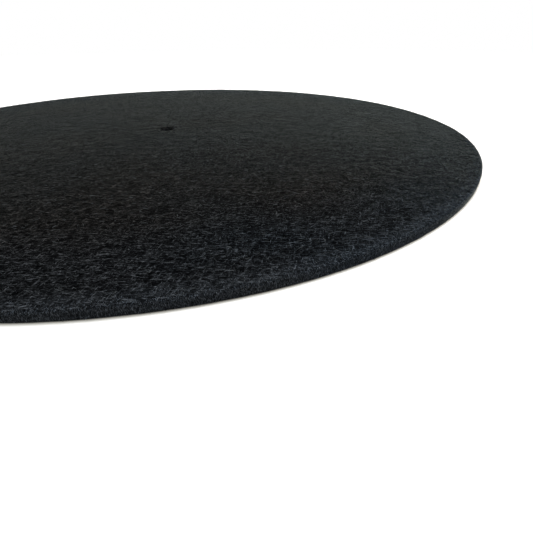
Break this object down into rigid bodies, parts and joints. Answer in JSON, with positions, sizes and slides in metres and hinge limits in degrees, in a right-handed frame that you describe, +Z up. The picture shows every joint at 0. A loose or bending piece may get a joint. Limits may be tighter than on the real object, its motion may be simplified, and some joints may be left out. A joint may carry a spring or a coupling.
{
  "type": "turntable platter mat",
  "caption": "Round flat mat of thick black felt, cut in one piece, with a central spindle hole. It lies on a turntable platter and carries the record.",
  "frame": {"origin": "middle of the underside, on the axis of the spindle hole", "axes": "+Z up along the spindle hole's axis; X and Y lie in the underside and are free, because the mat is round"},
  "size_m": [0.3, 0.3, 0.003],
  "materials": {
    "felt": "matt black wool-mix felt, fibrous, fuzzy at the cut edges"
  },
  "bodies": {
    "root": {"felt_mat": "felt"}
  },
  "joints": []
}
